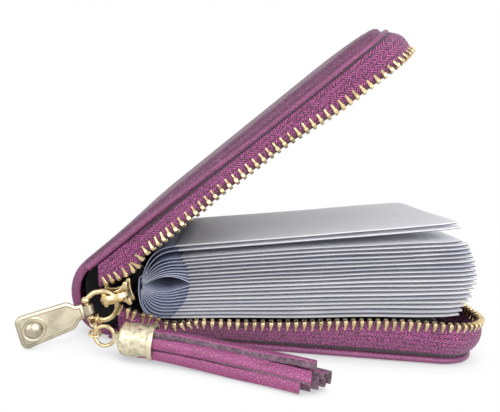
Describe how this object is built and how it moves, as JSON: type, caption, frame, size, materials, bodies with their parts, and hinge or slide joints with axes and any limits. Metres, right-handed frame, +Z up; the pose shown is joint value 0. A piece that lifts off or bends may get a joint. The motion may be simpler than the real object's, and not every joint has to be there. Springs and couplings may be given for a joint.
{
  "type": "card wallet",
  "caption": "Zip-around leather card wallet standing open, with a fan of clear card sleeves, a metal zip, a ring with a pull tab, and a short chain to a leather tassel.",
  "frame": {"origin": "middle of the lower cover's underside between the spine side and the right end, on the surface that it lies on", "axes": "+X from the spine to the open end, +Y from the pull's side to the back, +Z up"},
  "size_m": [0.1309, 0.108, 0.0939],
  "materials": {
    "cover_leather": "grained purple leather",
    "edge_leather": "rolled leather edge",
    "board": "grey board",
    "lining": "black woven lining",
    "tape": "woven zip tape",
    "gold": "polished gold tone",
    "tab": "satin champagne tone",
    "film": "frosted clear film",
    "fan": "frosted clear film",
    "fringe": "cut leather, grain one side and suede the other"
  },
  "bodies": {
    "lower_case": {"bottom_cover_leather": "cover_leather", "bottom_cover_board": "board", "bottom_cover_lining": "lining", "bottom_piping": "edge_leather", "bottom_zip_tape": "tape", "bottom_zip_teeth": "gold", "spine_leather": "cover_leather", "spine_lining": "lining", "sleeve_binding": "fan", "zip_rear_stop": "gold"},
    "upper_case": {"top_cover_leather": "cover_leather", "top_cover_board": "board", "top_cover_lining": "lining", "top_piping": "edge_leather", "top_zip_tape": "tape", "top_zip_teeth": "gold"},
    "sleeve_01_leaf": {"sleeve_01": "film"},
    "sleeve_02_leaf": {"sleeve_02": "film"},
    "sleeve_03_leaf": {"sleeve_03": "film"},
    "sleeve_04_leaf": {"sleeve_04": "film"},
    "sleeve_05_leaf": {"sleeve_05": "film"},
    "sleeve_06_leaf": {"sleeve_06": "film"},
    "sleeve_07_leaf": {"sleeve_07": "film"},
    "sleeve_08_leaf": {"sleeve_08": "film"},
    "sleeve_09_leaf": {"sleeve_09": "film"},
    "sleeve_10_leaf": {"sleeve_10": "film"},
    "sleeve_11_leaf": {"sleeve_11": "film"},
    "sleeve_12_leaf": {"sleeve_12": "film"},
    "sleeve_13_leaf": {"sleeve_13": "film"},
    "sleeve_14_leaf": {"sleeve_14": "film"},
    "sleeve_15_leaf": {"sleeve_15": "film"},
    "sleeve_16_leaf": {"sleeve_16": "film"},
    "sleeve_17_leaf": {"sleeve_17": "film"},
    "sleeve_18_leaf": {"sleeve_18": "film"},
    "sleeve_19_leaf": {"sleeve_19": "film"},
    "sleeve_20_leaf": {"sleeve_20": "film"},
    "slider": {"slider_body": "gold", "slider_bail": "gold"},
    "ring": {"pull_ring": "gold"},
    "tab": {"pull_tab": "tab", "pull_tab_dome": "tab"},
    "link_1": {"chain_link_1": "gold"},
    "link_2": {"chain_link_2": "gold"},
    "link_3": {"chain_link_3": "gold"},
    "link_4": {"chain_link_4": "gold"},
    "tassel": {"tassel_eye": "gold", "tassel_cap": "gold", "tassel_fringe": "fringe"}
  },
  "joints": [
    {"name": "cover_swing", "type": "hinge", "parent": "lower_case", "child": "upper_case", "pos_m": [-0.048, 0, 0.013], "axis": [0, -1, 0], "range_deg": [-44, 46], "deforming": ["spine_leather", "spine_lining"]},
    {"name": "sleeve_01_turn", "type": "hinge", "parent": "lower_case", "child": "sleeve_01_leaf", "pos_m": [-0.0415, 0, 0.00863], "axis": [0, -1, 0], "range_deg": [-5.3, 5.53]},
    {"name": "sleeve_02_turn", "type": "hinge", "parent": "lower_case", "child": "sleeve_02_leaf", "pos_m": [-0.0415, 0, 0.00909], "axis": [0, -1, 0], "range_deg": [-5.62, 5.86]},
    {"name": "sleeve_03_turn", "type": "hinge", "parent": "lower_case", "child": "sleeve_03_leaf", "pos_m": [-0.0415, 0, 0.00955], "axis": [0, -1, 0], "range_deg": [-5.93, 6.19]},
    {"name": "sleeve_04_turn", "type": "hinge", "parent": "lower_case", "child": "sleeve_04_leaf", "pos_m": [-0.0415, 0, 0.01001], "axis": [0, -1, 0], "range_deg": [-6.25, 6.52]},
    {"name": "sleeve_05_turn", "type": "hinge", "parent": "lower_case", "child": "sleeve_05_leaf", "pos_m": [-0.0415, 0, 0.01047], "axis": [0, -1, 0], "range_deg": [-6.56, 6.85]},
    {"name": "sleeve_06_turn", "type": "hinge", "parent": "lower_case", "child": "sleeve_06_leaf", "pos_m": [-0.0415, 0, 0.01093], "axis": [0, -1, 0], "range_deg": [-6.88, 7.18]},
    {"name": "sleeve_07_turn", "type": "hinge", "parent": "lower_case", "child": "sleeve_07_leaf", "pos_m": [-0.0415, 0, 0.01139], "axis": [0, -1, 0], "range_deg": [-7.2, 7.51]},
    {"name": "sleeve_08_turn", "type": "hinge", "parent": "lower_case", "child": "sleeve_08_leaf", "pos_m": [-0.0415, 0, 0.01185], "axis": [0, -1, 0], "range_deg": [-7.51, 7.84]},
    {"name": "sleeve_09_turn", "type": "hinge", "parent": "lower_case", "child": "sleeve_09_leaf", "pos_m": [-0.0415, 0, 0.01231], "axis": [0, -1, 0], "range_deg": [-7.83, 8.17]},
    {"name": "sleeve_10_turn", "type": "hinge", "parent": "lower_case", "child": "sleeve_10_leaf", "pos_m": [-0.0415, 0, 0.01277], "axis": [0, -1, 0], "range_deg": [-8.14, 8.5]},
    {"name": "sleeve_11_turn", "type": "hinge", "parent": "lower_case", "child": "sleeve_11_leaf", "pos_m": [-0.0415, 0, 0.01323], "axis": [0, -1, 0], "range_deg": [-8.46, 8.83]},
    {"name": "sleeve_12_turn", "type": "hinge", "parent": "lower_case", "child": "sleeve_12_leaf", "pos_m": [-0.0415, 0, 0.01369], "axis": [0, -1, 0], "range_deg": [-8.77, 9.16]},
    {"name": "sleeve_13_turn", "type": "hinge", "parent": "lower_case", "child": "sleeve_13_leaf", "pos_m": [-0.0415, 0, 0.01415], "axis": [0, -1, 0], "range_deg": [-9.09, 9.49]},
    {"name": "sleeve_14_turn", "type": "hinge", "parent": "lower_case", "child": "sleeve_14_leaf", "pos_m": [-0.0415, 0, 0.01461], "axis": [0, -1, 0], "range_deg": [-9.4, 9.82]},
    {"name": "sleeve_15_turn", "type": "hinge", "parent": "lower_case", "child": "sleeve_15_leaf", "pos_m": [-0.0415, 0, 0.01507], "axis": [0, -1, 0], "range_deg": [-9.72, 10.15]},
    {"name": "sleeve_16_turn", "type": "hinge", "parent": "lower_case", "child": "sleeve_16_leaf", "pos_m": [-0.0415, 0, 0.01553], "axis": [0, -1, 0], "range_deg": [-10.04, 10.48]},
    {"name": "sleeve_17_turn", "type": "hinge", "parent": "lower_case", "child": "sleeve_17_leaf", "pos_m": [-0.0415, 0, 0.01599], "axis": [0, -1, 0], "range_deg": [-10.35, 10.81]},
    {"name": "sleeve_18_turn", "type": "hinge", "parent": "lower_case", "child": "sleeve_18_leaf", "pos_m": [-0.0415, 0, 0.01645], "axis": [0, -1, 0], "range_deg": [-10.67, 11.14]},
    {"name": "sleeve_19_turn", "type": "hinge", "parent": "lower_case", "child": "sleeve_19_leaf", "pos_m": [-0.0415, 0, 0.01691], "axis": [0, -1, 0], "range_deg": [-10.98, 11.47]},
    {"name": "sleeve_20_turn", "type": "hinge", "parent": "lower_case", "child": "sleeve_20_leaf", "pos_m": [-0.0415, 0, 0.01737], "axis": [0, -1, 0], "range_deg": [-11.3, 11.8]},
    {"name": "slider_run", "type": "slide", "parent": "lower_case", "child": "slider", "axis": [1, 0, 0], "range_m": [0, 0.005]},
    {"name": "ring_swing", "type": "hinge", "parent": "slider", "child": "ring", "pos_m": [-0.0484, -0.0435, 0.013], "axis": [-1, 0, 0], "range_deg": [0, 25]},
    {"name": "tab_swing", "type": "hinge", "parent": "ring", "child": "tab", "pos_m": [-0.05514, -0.0435, 0.00927], "axis": [0.342, 0, -0.9397], "range_deg": [-20, 20]},
    {"name": "link_1_swing", "type": "hinge", "parent": "ring", "child": "link_1", "pos_m": [-0.05294, -0.0435, 0.00698], "axis": [0.9272, 0, -0.3746], "range_deg": [0, 12]},
    {"name": "link_2_swing", "type": "hinge", "parent": "link_1", "child": "link_2", "pos_m": [-0.05258, -0.04518, 0.00642], "axis": [-0.3649, 0.2261, -0.9032], "range_deg": [0, 12]},
    {"name": "link_3_swing", "type": "hinge", "parent": "link_2", "child": "link_3", "pos_m": [-0.05217, -0.04708, 0.00578], "axis": [-0.9431, -0.2671, 0.1981], "range_deg": [0, 12]},
    {"name": "link_4_swing", "type": "hinge", "parent": "link_3", "child": "link_4", "pos_m": [-0.05177, -0.04897, 0.00514], "axis": [-0.1672, 0.2821, -0.9447], "range_deg": [0, 12]},
    {"name": "tassel_swing", "type": "hinge", "parent": "link_4", "child": "tassel", "pos_m": [-0.05137, -0.05087, 0.00451], "axis": [-0.9781, -0.2079, 0], "range_deg": [0, 12]}
  ],
  "couplings": [
    {"joint": "sleeve_01_turn", "follows": "cover_swing", "ratio": 0.11364},
    {"joint": "sleeve_02_turn", "follows": "cover_swing", "ratio": 0.12081},
    {"joint": "sleeve_03_turn", "follows": "cover_swing", "ratio": 0.12799},
    {"joint": "sleeve_04_turn", "follows": "cover_swing", "ratio": 0.13517},
    {"joint": "sleeve_05_turn", "follows": "cover_swing", "ratio": 0.14234},
    {"joint": "sleeve_06_turn", "follows": "cover_swing", "ratio": 0.14952},
    {"joint": "sleeve_07_turn", "follows": "cover_swing", "ratio": 0.1567},
    {"joint": "sleeve_08_turn", "follows": "cover_swing", "ratio": 0.16388},
    {"joint": "sleeve_09_turn", "follows": "cover_swing", "ratio": 0.17105},
    {"joint": "sleeve_10_turn", "follows": "cover_swing", "ratio": 0.17823},
    {"joint": "sleeve_11_turn", "follows": "cover_swing", "ratio": 0.18541},
    {"joint": "sleeve_12_turn", "follows": "cover_swing", "ratio": 0.19258},
    {"joint": "sleeve_13_turn", "follows": "cover_swing", "ratio": 0.19976},
    {"joint": "sleeve_14_turn", "follows": "cover_swing", "ratio": 0.20694},
    {"joint": "sleeve_15_turn", "follows": "cover_swing", "ratio": 0.21411},
    {"joint": "sleeve_16_turn", "follows": "cover_swing", "ratio": 0.22129},
    {"joint": "sleeve_17_turn", "follows": "cover_swing", "ratio": 0.22847},
    {"joint": "sleeve_18_turn", "follows": "cover_swing", "ratio": 0.23565},
    {"joint": "sleeve_19_turn", "follows": "cover_swing", "ratio": 0.24282},
    {"joint": "sleeve_20_turn", "follows": "cover_swing", "ratio": 0.25}
  ]
}
